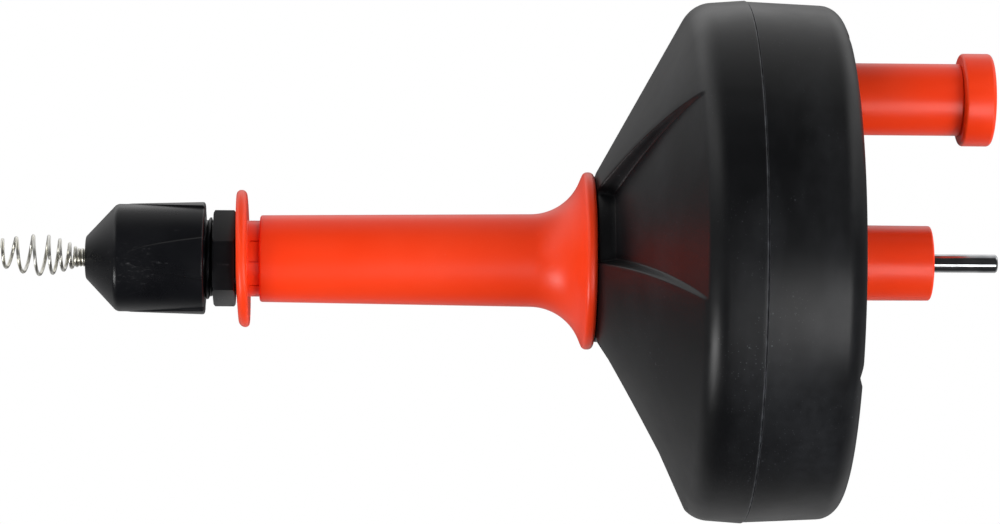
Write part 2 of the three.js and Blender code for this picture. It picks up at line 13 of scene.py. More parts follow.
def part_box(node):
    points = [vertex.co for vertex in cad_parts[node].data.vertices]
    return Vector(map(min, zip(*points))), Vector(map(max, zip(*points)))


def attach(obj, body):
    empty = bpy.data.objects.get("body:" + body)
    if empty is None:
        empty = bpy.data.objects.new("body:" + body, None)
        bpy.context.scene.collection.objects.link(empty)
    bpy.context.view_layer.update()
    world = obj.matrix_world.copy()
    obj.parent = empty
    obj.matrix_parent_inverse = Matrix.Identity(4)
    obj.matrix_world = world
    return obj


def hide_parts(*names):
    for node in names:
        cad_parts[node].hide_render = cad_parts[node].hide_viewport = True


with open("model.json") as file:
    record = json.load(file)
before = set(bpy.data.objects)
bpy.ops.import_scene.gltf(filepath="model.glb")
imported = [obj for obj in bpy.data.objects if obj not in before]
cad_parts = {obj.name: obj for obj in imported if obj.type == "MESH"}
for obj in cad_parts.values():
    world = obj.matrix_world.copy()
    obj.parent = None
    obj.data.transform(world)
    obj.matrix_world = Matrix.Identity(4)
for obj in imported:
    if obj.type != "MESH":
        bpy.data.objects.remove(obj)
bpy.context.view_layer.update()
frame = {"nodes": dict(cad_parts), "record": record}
nodes = frame["nodes"]
MM = 0.001


# ---- Camera: level, from the side, as far away as its long lens needs ----
FOCUS_X = 26.1 * MM  # the point of the spin axis in the middle of the view
FOCUS_Z = -0.6 * MM
DISTANCE = 1.331
SENSOR_WIDTH = 36  # millimetres, as the lens
LENS = 135
YAW = math.radians(2.05)  # the shank end is turned away a little
ROLL = math.radians(0.41)


def make_camera():
    data = bpy.data.cameras.new("camera")
    data.sensor_width = SENSOR_WIDTH
    data.lens = LENS
    data.clip_end = 50
    camera = bpy.data.objects.new("camera", data)
    bpy.context.scene.collection.objects.link(camera)
    direction = Vector((math.sin(YAW), math.cos(YAW), 0))
    camera.location = Vector((FOCUS_X, 0, FOCUS_Z)) - DISTANCE * direction
    look = direction.to_track_quat("-Z", "Y").to_matrix().to_4x4()
    camera.rotation_euler = (look @ Matrix.Rotation(ROLL, 4, "Z")).to_euler()
    bpy.context.scene.camera = camera


# ---- Mesh helpers, in metres ----
WELD_DISTANCE = 0.002 * MM


def rounded(corners, steps=5):
    """A closed outline of (x, radius, fillet) corners, with an arc at each corner that has a fillet."""
    outline = []
    for i, (x, r, fillet) in enumerate(corners):
        here = Vector((x, r))
        if fillet == 0:
            outline.append(here)
            continue
        before = (Vector(corners[i - 1][:2]) - here).normalized()
        after = (Vector(corners[(i + 1) % len(corners)][:2]) - here).normalized()
        half = before.angle(after) / 2
        centre = here + (before + after).normalized() * fillet / math.sin(half)
        start = here + before * fillet / math.tan(half) - centre
        end = here + after * fillet / math.tan(half) - centre
        sweep = start.angle(end)
        for k in range(steps + 1):
            t = k / steps
            a = math.sin((1 - t) * sweep) / math.sin(sweep)
            b = math.sin(t * sweep) / math.sin(sweep)
            outline.append(centre + a * start + b * end)
    return outline


def arc(x, r, radius, start, end, steps):
    """Points (x, radius, 0) of an arc, angles in degrees."""
    points = []
    for k in range(steps + 1):
        angle = math.radians(start + (end - start) * k / steps)
        points.append((x + radius * math.cos(angle), r + radius * math.sin(angle), 0))
    return points


def around(angle, radius):
    """y and z of a point at an angle in degrees round the spin axis, from -Y towards +Z."""
    return -radius * math.cos(math.radians(angle)), radius * math.sin(math.radians(angle))


def mesh_object(name, vertices, faces, sharp=32):
    """A new object, smooth but for the edges sharper than an angle in degrees."""
    mesh = bpy.data.meshes.new(name)
    mesh.from_pydata([tuple(v) for v in vertices], [], faces)
    work = bmesh.new()
    work.from_mesh(mesh)
    bmesh.ops.recalc_face_normals(work, faces=work.faces)
    work.to_mesh(mesh)
    work.free()
    mesh.shade_smooth()
    mesh.set_sharp_from_angle(angle=math.radians(sharp))
    obj = bpy.data.objects.new(name, mesh)
    bpy.context.scene.collection.objects.link(obj)
    return obj


def turned(name, outline, segments=128, sharp=32, centre=(0, 0)):
    """A solid of revolution about X from a closed outline of (x, radius)."""
    vertices = []
    rings = []
    for point in outline:
        x, r = point[0], point[1]
        if r < 1e-9:
            rings.append([len(vertices)] * segments)
            vertices.append((x, centre[0], centre[1]))
            continue
        rings.append(list(range(len(vertices), len(vertices) + segments)))
        for j in range(segments):
            y, z = around(360 * j / segments, r)
            vertices.append((x, y + centre[0], z + centre[1]))
    faces = []
    for i, ring in enumerate(rings):
        following = rings[(i + 1) % len(rings)]
        for j in range(segments):
            k = (j + 1) % segments
            corners = [ring[j], ring[k], following[k], following[j]]
            face = list(dict.fromkeys(corners))
            if len(face) > 2:
                faces.append(face)
    return mesh_object(name, vertices, faces, sharp)


def rod(name, x0, x1, radius, segments, centre=(0, 0)):
    """A plain cylinder along X, for cutting and for the floor."""
    return turned(name, [(x0, 0), (x0, radius), (x1, radius), (x1, 0)], segments, centre=centre)


def prism(name, outline, x0, x1):
    """A prism along X from an outline of (y, z)."""
    count = len(outline)
    vertices = [(x, y, z) for x in (x0, x1) for y, z in outline]
    faces = [list(range(count)), list(range(count, 2 * count))]
    for i in range(count):
        k = (i + 1) % count
        faces.append([i, k, count + k, count + i])
    return mesh_object(name, vertices, faces)


def box_tool(name, size, centre, angle=0):
    """A box for cutting, turned about the spin axis by an angle in degrees."""
    vertices = []
    for sx in (-0.5, 0.5):
        for sy in (-0.5, 0.5):
            for sz in (-0.5, 0.5):
                corner = Vector((sx * size[0], sy * size[1], sz * size[2])) + Vector(centre)
                vertices.append(Matrix.Rotation(math.radians(angle), 3, "X") @ corner)
    faces = [(0, 1, 3, 2), (4, 6, 7, 5), (0, 4, 5, 1), (2, 3, 7, 6), (0, 2, 6, 4), (1, 5, 7, 3)]
    return mesh_object(name, vertices, faces)


def combine(obj, tools, operation="DIFFERENCE", sharp=32):
    """Cuts the tools from a piece or joins them to it, and removes the tools."""
    for tool in tools:
        modifier = obj.modifiers.new("boolean", "BOOLEAN")
        modifier.operation = operation
        modifier.solver = "EXACT"
        modifier.object = tool
    bake(obj, sharp)
    for tool in tools:
        bpy.data.objects.remove(tool)
    return obj


def bake(obj, sharp=32):
    """Applies a piece's modifiers, and welds the points that they leave on top of each other."""
    evaluated = obj.evaluated_get(bpy.context.evaluated_depsgraph_get())
    mesh = bpy.data.meshes.new_from_object(evaluated)
    obj.modifiers.clear()
    obj.data = mesh
    work = bmesh.new()
    work.from_mesh(mesh)
    bmesh.ops.remove_doubles(work, verts=work.verts, dist=WELD_DISTANCE)
    bmesh.ops.dissolve_degenerate(work, edges=work.edges, dist=WELD_DISTANCE)
    work.to_mesh(mesh)
    work.free()
    mesh.shade_smooth()
    mesh.set_sharp_from_angle(angle=math.radians(sharp))


def bevel(obj, width, limit):
    """Rounds the edges of a piece that turn by more than an angle in degrees."""
    modifier = obj.modifiers.new("bevel", "BEVEL")
    modifier.width = width
    modifier.segments = 2
    modifier.limit_method = "ANGLE"
    modifier.angle_limit = math.radians(limit)
    modifier.use_clamp_overlap = True
    bake(obj, sharp=40)
    return obj


def wire_mesh(name, path, radius):
    """A round wire along a path of points, with rounded ends."""
    sides = 10
    end_scale = 0.5
    vertices = []
    faces = []
    tangents = []
    for i, point in enumerate(path):
        ahead = path[min(i + 1, len(path) - 1)]
        behind = path[max(i - 1, 0)]
        tangents.append((ahead - behind).normalized())
    side = tangents[0].orthogonal().normalized()
    rings = [(path[0] - tangents[0] * radius * 0.7, tangents[0], end_scale)]
    rings += [(point, tangent, 1) for point, tangent in zip(path, tangents)]
    rings.append((path[-1] + tangents[-1] * radius * 0.7, tangents[-1], end_scale))
    for point, tangent, scale in rings:
        side = (side - tangent * side.dot(tangent)).normalized()
        other = tangent.cross(side)
        for k in range(sides):
            angle = 2 * math.pi * k / sides
            vertices.append(point + (side * math.cos(angle) + other * math.sin(angle)) * radius * scale)
    for i in range(len(rings) - 1):
        for k in range(sides):
            a = i * sides + k
            b = i * sides + (k + 1) % sides
            faces.append([a, b, b + sides, a + sides])
    faces.append(list(range(sides)))
    faces.append(list(range(len(vertices) - sides, len(vertices))))
    return mesh_object(name, vertices, faces, sharp=80)


# ---- Materials ----
class Shader:
    """A material's node tree, with short calls for the nodes that the materials use."""

    def __init__(self, name):
        self.material = bpy.data.materials.new(name)
        self.material.use_nodes = True
        self.tree = self.material.node_tree
        self.surface = self.tree.nodes["Principled BSDF"]
        coordinates = self.tree.nodes.new("ShaderNodeTexCoord")
        self.place = coordinates.outputs["Object"]

    def add(self, kind, **settings):
        node = self.tree.nodes.new(kind)
        for key, value in settings.items():
            setattr(node, key, value)
        return node

    def link(self, source, target):
        self.tree.links.new(source, target)

    def set(self, **values):
        for name, value in values.items():
            self.surface.inputs[name.replace("_", " ")].default_value = value

    def stretched(self, scale):
        """Object coordinates scaled differently along each axis."""
        mapping = self.add("ShaderNodeMapping")
        mapping.inputs["Scale"].default_value = scale
        self.link(self.place, mapping.inputs["Vector"])
        return mapping.outputs["Vector"]

    def noise(self, scale, detail=4, place=None):
        node = self.add("ShaderNodeTexNoise")
        node.inputs["Scale"].default_value = scale
        node.inputs["Detail"].default_value = detail
        node.inputs["Roughness"].default_value = 0.55
        self.link(place or self.place, node.inputs["Vector"])
        return node.outputs["Fac"]

    def cells(self, scale):
        """Distance to the middle of the nearest of many scattered cells."""
        node = self.add("ShaderNodeTexVoronoi")
        node.inputs["Scale"].default_value = scale
        self.link(self.place, node.inputs["Vector"])
        return node.outputs["Distance"]

    def ramp(self, value, low, high, dark, light):
        """Turns a value between low and high into a number between dark and light."""
        node = self.add("ShaderNodeMapRange")
        for key, number in (("From Min", low), ("From Max", high), ("To Min", dark), ("To Max", light)):
            node.inputs[key].default_value = number
        self.link(value, node.inputs["Value"])
        return node.outputs["Result"]

    def axis(self, letter):
        """One of the object coordinates."""
        split = self.add("ShaderNodeSeparateXYZ")
        self.link(self.place, split.inputs[0])
        return split.outputs[letter]

    def maths(self, operation, first, second, clamp=False):
        node = self.add("ShaderNodeMath", operation=operation, use_clamp=clamp)
        self.link(first, node.inputs[0])
        self.link(second, node.inputs[1])
        return node.outputs[0]

    def times(self, first, second):
        return self.maths("MULTIPLY", first, second)

    def add_up(self, first, second):
        return self.maths("ADD", first, second, clamp=True)

    def blend(self, amount, dark, light):
        """A colour between two colours, or between another blend and a colour."""
        node = self.add("ShaderNodeMix", data_type="RGBA")
        self.link(amount, node.inputs["Factor"])
        for socket, colour in ((node.inputs[6], dark), (node.inputs[7], light)):
            if isinstance(colour, tuple):
                socket.default_value = (*colour, 1)
            else:
                self.link(colour, socket)
        return node.outputs[2]

    def bump(self, *layers):
        """Stacks bump layers of (height, strength, distance)."""
        normal = None
        for height, strength, distance in layers:
            node = self.add("ShaderNodeBump")
            node.inputs["Strength"].default_value = strength
            node.inputs["Distance"].default_value = distance
            self.link(height, node.inputs["Height"])
            if normal:
                self.link(normal, node.inputs["Normal"])
            normal = node.outputs["Normal"]
        self.link(normal, self.surface.inputs["Normal"])


def plastic(name, base, worn, dust, roughness, speck_amount, film=0.0, specular=0.5, dusty_x=None):
    """Moulded plastic: fine grain, cloudy gloss, faint flow marks, specks of dust and a film of dirt."""
    shader = Shader(name)
    cloudy = shader.noise(28, detail=5)
    flow = shader.noise(60, detail=3, place=shader.stretched((0.25, 1, 1)))
    clumps = shader.ramp(shader.noise(30, detail=3), 0.5, 0.66, 0, 1)
    large = shader.ramp(shader.cells(260), 0.04, 0.1, speck_amount, 0)
    small = shader.ramp(shader.cells(760), 0.08, 0.14, speck_amount, 0)
    speck = shader.times(shader.add_up(large, small), clumps)
    streaks = shader.noise(22, detail=7, place=shader.stretched((1.6, 0.7, 0.5)))
    uneven = shader.ramp(shader.noise(300, detail=4), 0.3, 0.6, 0.5, 1)
    smear = shader.times(shader.ramp(streaks, 0.5, 0.78, 0, film), uneven)
    tone = shader.blend(shader.ramp(cloudy, 0.35, 0.7, 0, 1), base, worn)
    tone = shader.blend(smear, tone, dust)
    if dusty_x is not None:
        # Dust gathers in the seam that lies at this X.
        x = shader.axis("X")
        ahead = shader.ramp(x, dusty_x - 0.7 * MM, dusty_x - 0.15 * MM, 0, 0.45)
        past = shader.ramp(x, dusty_x + 0.1 * MM, dusty_x + 0.5 * MM, 1, 0)
        patchy = shader.ramp(shader.noise(210, detail=5), 0.42, 0.6, 0.25, 1)
        tone = shader.blend(shader.times(shader.times(ahead, past), patchy), tone, dust)
    shader.link(shader.blend(speck, tone, dust), shader.surface.inputs["Base Color"])
    gloss = shader.ramp(cloudy, 0.3, 0.7, roughness - 0.06, roughness + 0.07)
    shader.link(gloss, shader.surface.inputs["Roughness"])
    shader.set(Specular_IOR_Level=specular)
    shader.bump((flow, 0.05, 0.0006), (shader.noise(1500, detail=2), 0.12, 0.00008))
    return shader.material


# The middle of the scuffed patch on the nut's near side.
SCUFFED = (-102.5 * MM, -18.7 * MM, -3.5 * MM)


def scratched_plastic(name, base, worn, roughness):
    """Chuck plastic: darker and glossier, with handling scratches that run round and along it."""
    shader = Shader(name)
    cloudy = shader.noise(45, detail=5)
    along = shader.noise(420, detail=3, place=shader.stretched((0.12, 1, 1)))
    across = shader.noise(420, detail=3, place=shader.stretched((1, 0.12, 0.12)))
    scratch = shader.times(shader.ramp(along, 0.66, 0.74, 0, 1), shader.ramp(across, 0.52, 0.6, 0, 1))
    distance = shader.add("ShaderNodeVectorMath", operation="DISTANCE")
    distance.inputs[1].default_value = SCUFFED
    shader.link(shader.place, distance.inputs[0])
    near = shader.ramp(distance.outputs["Value"], 3 * MM, 11 * MM, 1, 0)
    fibres = shader.noise(1100, detail=4, place=shader.stretched((0.5, 1, 1.6)))
    scuff = shader.times(shader.ramp(fibres, 0.58, 0.76, 0, 0.26), near)
    tone = shader.blend(shader.ramp(cloudy, 0.35, 0.7, 0, 1), base, worn)
    tone = shader.blend(scuff, tone, (0.12, 0.12, 0.125))
    shader.link(shader.blend(shader.ramp(scratch, 0, 1, 0, 0.12), tone, (0.2, 0.2, 0.21)),
                shader.surface.inputs["Base Color"])
    gloss = shader.ramp(cloudy, 0.3, 0.7, roughness - 0.06, roughness + 0.08)
    shader.link(gloss, shader.surface.inputs["Roughness"])
    shader.set(Specular_IOR_Level=0.38)
    grain = shader.noise(1300, detail=2)
    shader.bump((cloudy, 0.1, 0.0004), (grain, 0.14, 0.00008), (scratch, 0.25, 0.0001))
    return shader.material


def metal(name, base, dark, roughness, streak, streak_strength=0.3):
    """Bright metal with fine streaks, faint tarnish and small nicks."""
    shader = Shader(name)
    tarnish = shader.noise(120, detail=5)
    lines = shader.noise(900, detail=4, place=shader.stretched(streak))
    nicks = shader.ramp(shader.cells(700), 0.05, 0.12, 1, 0)
    tone = shader.blend(shader.ramp(tarnish, 0.4, 0.75, 0, 1), base, dark)
    shader.link(tone, shader.surface.inputs["Base Color"])
    gloss = shader.ramp(lines, 0.3, 0.7, roughness - 0.05, roughness + 0.1)
    shader.link(gloss, shader.surface.inputs["Roughness"])
    shader.set(Metallic=1.0)
    shader.bump((lines, streak_strength, 0.00004), (nicks, 0.15, 0.00005))
    return shader.material


def make_materials():
    """One material for each slot of the record."""
    return {
        "red_plastic": plastic("red_plastic", (0.9, 0.045, 0.007), (0.93, 0.053, 0.01), (0.9, 0.3, 0.22),
                               roughness=0.34, speck_amount=0.1, specular=0.42),
        "black_plastic": plastic("black_plastic", (0.0034, 0.0036, 0.0042), (0.0056, 0.0059, 0.0068),
                                 (0.12, 0.127, 0.142), roughness=0.36, speck_amount=0.45, film=0.1,
                                 specular=0.38, dusty_x=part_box("rear_shell")[0].x + SEAM_STEP),
        "chuck_plastic": scratched_plastic("chuck_plastic", (0.003, 0.0032, 0.0042),
                                           (0.0055, 0.0058, 0.0072), roughness=0.29),
        "nylon": plastic("nylon", (0.72, 0.7, 0.62), (0.78, 0.76, 0.68), (0.5, 0.48, 0.42),
                         roughness=0.45, speck_amount=0.1),
        "neck_steel": metal("neck_steel", (0.52, 0.53, 0.54), (0.4, 0.4, 0.41), 0.28, (1, 0.05, 0.05)),
        "shank_steel": metal("shank_steel", (0.66, 0.67, 0.69), (0.4, 0.41, 0.42), 0.12,
                             (0.08, 1, 1), 0.5),
        "zinc_plate": metal("zinc_plate", (0.62, 0.6, 0.54), (0.5, 0.48, 0.4), 0.27, (0.3, 1, 1)),
        "spring_wire": metal("spring_wire", (0.93, 0.92, 0.87), (0.85, 0.81, 0.66), 0.3,
                             (0.5, 0.5, 0.5), 0.15),
        "collet_brass": metal("collet_brass", (0.58, 0.4, 0.14), (0.42, 0.28, 0.1), 0.3, (1, 0.05, 0.05)),
    }


def put(piece, body, slot, *replaced):
    """Gives a new piece the material of its slot, puts it on its body, and hides the CAD nodes that it
    stands in for.
    """
    piece.data.materials.clear()
    piece.data.materials.append(materials[slot])
    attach(piece, body)
    if replaced:
        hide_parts(*replaced)
    return piece


# ---- Sleeve ----
def grip_sleeve():
    low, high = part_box("grip_sleeve")
    front_radius = 15.35 * MM
    rear_radius = 16.45 * MM
    lip_radius = high.y
    flare_start = 36.7 * MM
    flare_radius = 18.8 * MM
    lip = 1.8 * MM
    bore = 13.7 * MM
    outer = [
        (low.x, front_radius, 0.9 * MM),
        *arc(flare_start, rear_radius + flare_radius, flare_radius, -90, -21, 22),
    ]
    tail = [
        (high.x - 2 * lip, lip_radius, lip),
        (high.x, lip_radius, lip),
        (high.x, 27.5 * MM, 0.5 * MM),
        (high.x - 4 * MM, 26 * MM, 0.5 * MM),
        *arc(flare_start + 2 * MM, rear_radius + flare_radius - 1.5 * MM, flare_radius + 1.2 * MM,
             -40, -86, 10),
        (22 * MM, bore, 0),
        (low.x, bore, 0.4 * MM),
    ]
    return turned("sleeve", rounded(outer + tail, steps=7), 160, sharp=40)


def grip_flange():
    low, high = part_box("grip_front_flange")
    disc_rear = low.x + 3.7 * MM
    radius = high.y - 0.1 * MM
    bore = 11.6 * MM
    collar = 13.45 * MM
    outline = rounded(
        [
            (low.x, bore, 0.3 * MM),
            (low.x, radius, 1.75 * MM),
            (disc_rear, radius, 1.75 * MM),
            (disc_rear, collar, 0.5 * MM),
            (high.x, collar, 0.6 * MM),
            (high.x, bore, 0),
        ],
        steps=8,
    )
    disc = turned("guard_disc", outline, 160, sharp=40)
    length = high.x - disc_rear + 1 * MM
    slots = []
    for angle in (-45, -5, 27, 75, 115, 155, 195, 235, 275):
        centre = (disc_rear + 1.2 * MM + length / 2, -collar, 0)
        slots.append(box_tool("slot", (length, 1.4 * MM, 0.45 * MM), centre, -angle))
    combine(disc, slots, sharp=40)
    # The thin rim has warped: it leans back, and most at its lower side.
    warp_start = 17 * MM
    for vertex in disc.data.vertices:
        place = vertex.co
        reach = (math.hypot(place.y, place.z) - warp_start) / (radius - warp_start)
        if place.x < disc_rear + 0.01 * MM:
            place.x += min(max(reach, 0), 1) * (0.62 * MM - 0.033 * place.z)
    return disc


# ---- Drum shells ----
CONE_SLOPE = 1.785  # radius gained per length along X
CONE_FRONT_RADIUS = 30.1 * MM
SHOULDER_RADIUS = 11 * MM
SIDE_DRAFT = math.radians(4.2)
HUB_RADIUS = 28.8 * MM
FLOOR_SLOPE = 2.2
RECESS_CENTRES = (24, 144, 264)
SEAM_STEP = 5.85 * MM  # from the rear shell's inner lip to the seam
SEAM_GAP = 0.06 * MM


def shoulder_arc(front, seam, radius_at_seam):
    """Centre of the shoulder arc, and the angles in degrees at which it meets the cone and the side."""
    cone = math.atan(CONE_SLOPE)
    side_slope = math.tan(SIDE_DRAFT)
    rise = radius_at_seam - side_slope * seam - CONE_FRONT_RADIUS + CONE_SLOPE * front
    corner_x = rise / (CONE_SLOPE - side_slope)
    corner_r = CONE_FRONT_RADIUS + CONE_SLOPE * (corner_x - front)
    set_back = SHOULDER_RADIUS * math.tan((cone - SIDE_DRAFT) / 2)
    tangent_x = corner_x + set_back * math.cos(SIDE_DRAFT)
    tangent_r = corner_r + set_back * math.sin(SIDE_DRAFT)
    centre_x = tangent_x + SHOULDER_RADIUS * math.sin(SIDE_DRAFT)
    centre_r = tangent_r - SHOULDER_RADIUS * math.cos(SIDE_DRAFT)
    return centre_x, centre_r, 90 + math.degrees(cone), 90 + math.degrees(SIDE_DRAFT)


def front_shell():
    """The cone with its hub, shoulder and three recesses, as one grid of rows and columns."""
    low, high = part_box("front_shell")
    front = low.x
    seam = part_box("rear_shell")[0].x + SEAM_STEP
    side_radius = high.y
    bore = 9.3 * MM
    centre_x, centre_r, cone_angle, side_angle = shoulder_arc(front, seam, side_radius)

    def land_x(r):
        """X of the cone, and then of the shoulder, at a radius."""
        on_cone = front + (r - CONE_FRONT_RADIUS) / CONE_SLOPE
        tangent_r = centre_r + SHOULDER_RADIUS * math.sin(math.radians(cone_angle))
        if r < tangent_r:
            return on_cone
        return centre_x - math.sqrt(SHOULDER_RADIUS**2 - (r - centre_r) ** 2)

    floor_front = front + 6.1 * MM

    def floor_x(r):
        return floor_front + (r - HUB_RADIUS) / FLOOR_SLOPE

    crease = HUB_RADIUS
    while floor_x(crease) > land_x(crease):
        crease += 0.01 * MM

    # Each row gives the place (x, radius) of the land between the recesses and of the recess.
    rows = [
        ((front, bore), (front, bore)),
        ((front, 20 * MM), (front, 20 * MM)),
        ((front, HUB_RADIUS - 0.5 * MM), (front, HUB_RADIUS - 0.5 * MM)),
        ((front, HUB_RADIUS), (front + 0.1 * MM, HUB_RADIUS - 0.15 * MM)),
        ((front, HUB_RADIUS + 0.5 * MM), (front + 0.4 * MM, HUB_RADIUS)),
        ((front, HUB_RADIUS + 0.7 * MM), (front + 2.2 * MM, HUB_RADIUS)),
        ((front, HUB_RADIUS + 0.9 * MM), (front + 4 * MM, HUB_RADIUS)),
        ((front, HUB_RADIUS + 1.1 * MM), (floor_front - 0.1 * MM, HUB_RADIUS)),
        ((front + 0.12 * MM, CONE_FRONT_RADIUS - 0.1 * MM), (floor_front, HUB_RADIUS + 0.05 * MM)),
        ((front + 0.5 * MM, CONE_FRONT_RADIUS + 0.6 * MM), (floor_front + 0.3 * MM, HUB_RADIUS + 0.7 * MM)),
    ]
    land_start = CONE_FRONT_RADIUS + 1.4 * MM
    floor_start = HUB_RADIUS + 1.6 * MM
    steps = 56
    for i in range(steps + 1):
        t = i / steps
        land_r = land_start + (crease - land_start) * t
        floor_r = floor_start + (crease - floor_start) * t
        rows.append(((land_x(land_r), land_r), (floor_x(floor_r), floor_r)))
    crease_angle = math.degrees(math.acos((land_x(crease) - centre_x) / SHOULDER_RADIUS))
    for i in range(1, 13):
        angle = math.radians(crease_angle + (side_angle - crease_angle) * i / 12)
        point = (centre_x + SHOULDER_RADIUS * math.cos(angle), centre_r + SHOULDER_RADIUS * math.sin(angle))
        rows.append((point, point))
    tangent = rows[-1][0]
    lip_round = 0.45 * MM
    last_x = seam - SEAM_GAP
    for t in (0.3, 0.6, 0.9, 1):
        x = tangent[0] + (last_x - lip_round - tangent[0]) * t
        r = side_radius - (last_x - x) * math.tan(SIDE_DRAFT)
        rows.append(((x, r), (x, r)))
    for angle in (60, 30, 0):
        a = math.radians(angle)
        x = last_x - lip_round + lip_round * math.cos(a)
        r = side_radius - lip_round + lip_round * math.sin(a)
        rows.append(((x, r), (x, r)))
    rows.append(((last_x, side_radius - 2.2 * MM), (last_x, side_radius - 2.2 * MM)))

    # Columns go round the drum. Each gives a recess's centre, the part of the recess or land, how far
    # across that part it lies, and its depth.
    wall_steps = [(0, 0), (0.12, 0.02), (0.25, 0.12), (0.5, 0.5), (0.75, 0.88), (0.88, 0.98), (1, 1)]
    lower_run = 1.8 * MM
    upper_run = 2.2 * MM
    columns = []
    for centre in RECESS_CENTRES:
        columns += [(centre, "lower", place, depth) for place, depth in wall_steps]
        columns += [(centre, "floor", k / 26, 1) for k in range(1, 26)]
        columns += [(centre, "upper", 1 - place, depth) for place, depth in reversed(wall_steps)]
        columns += [(centre, "land", k / 30, 0) for k in range(1, 30)]

    swirl_end = 94 * MM

    def column_angle(column, r):
        centre, part, share, _ = column
        spread = min(max((r - HUB_RADIUS) / (swirl_end - HUB_RADIUS), 0), 1)
        lower = centre - 24 - 9 * spread
        upper = centre + 31 - 16 * spread
        low_half = math.degrees(lower_run / max(r, HUB_RADIUS)) / 2
        high_half = math.degrees(upper_run / max(r, HUB_RADIUS)) / 2
        if part == "lower":
            return lower + low_half * (2 * share - 1)
        if part == "floor":
            return lower + low_half + (upper - high_half - lower - low_half) * share
        if part == "upper":
            return upper + high_half * (2 * share - 1)
        return upper + high_half + (120 + lower - low_half - upper - high_half) * share

    vertices = []
    for land, recess in rows:
        for column in columns:
            depth = column[3]
            x = land[0] + (recess[0] - land[0]) * depth
            r = land[1] + (recess[1] - land[1]) * depth
            y, z = around(column_angle(column, r), r)
            vertices.append((x, y, z))
    count = len(columns)
    faces = []
    for i in range(len(rows) - 1):
        for j in range(count):
            k = (j + 1) % count
            faces.append([i * count + j, i * count + k, (i + 1) * count + k, (i + 1) * count + j])
    shell = mesh_object("drum_front", vertices, faces, sharp=50)
    thick = shell.modifiers.new("thickness", "SOLIDIFY")
    thick.thickness = 1.6 * MM
    thick.offset = -1
    bake(shell, sharp=50)
    return shell


def rear_shell():
    """The dish, with four V grooves in its face, sunk screw heads and the hole for the crank pin."""
    low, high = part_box("rear_shell")
    seam = low.x + SEAM_STEP + SEAM_GAP
    rear = high.x
    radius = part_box("front_shell")[1].y - 0.35 * MM
    rear_radius = radius - (rear - seam) * math.tan(math.radians(2.6))
    wall = 2.5 * MM
    hub_hole = 13.75 * MM
    outline = rounded(
        [
            (seam, radius - wall, 0),
            (seam, radius, 0.3 * MM),
            (rear, rear_radius, 7.8 * MM),
            (rear, hub_hole, 0.3 * MM),
            (rear - wall, hub_hole, 0),
            (rear - wall, rear_radius - wall, 5 * MM),
        ],
        steps=12,
    )
    shell = turned("drum_rear", outline, 192, sharp=40)
    groove_width = 9.5 * MM
    groove_depth = 1.8 * MM
    groove_length = 64 * MM
    tools = []
    for angle in (63.5, 153.5, 243.5, 333.5):
        corners = [(-groove_depth, 0), (0, -groove_width / 2), (groove_depth, 0), (0, groove_width / 2)]
        inner = radius - groove_length
        vertices = []
        for r in (inner, radius + 1 * MM):
            for dx, across in corners:
                point = Vector((rear + dx, r, across))
                vertices.append(Matrix.Rotation(math.radians(180 - angle), 3, "X") @ point)
        faces = [(0, 1, 2, 3), (4, 5, 6, 7), (0, 1, 5, 4), (1, 2, 6, 5), (2, 3, 7, 6), (3, 0, 4, 7)]
        tools.append(mesh_object("groove", vertices, faces))
    for angle in (18.5, 108.5, 198.5, 288.5):
        tools.append(rod("sink", rear - 3 * MM, rear + MM, 4.2 * MM, 40, centre=around(angle, 78 * MM)))
    crank_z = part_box("knob_sleeve")[0].z / 2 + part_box("knob_sleeve")[1].z / 2
    tools.append(rod("crank_hole", rear - 5 * MM, rear + MM, 3.4 * MM, 40, centre=(0, crank_z)))
    combine(shell, tools, sharp=28)
    return shell


# ---- Chuck ----
def hexagon(across_flats, phase):
    corner = across_flats / 2 / math.cos(math.pi / 6)
    return [around(phase + 60 * k, corner) for k in range(6)]


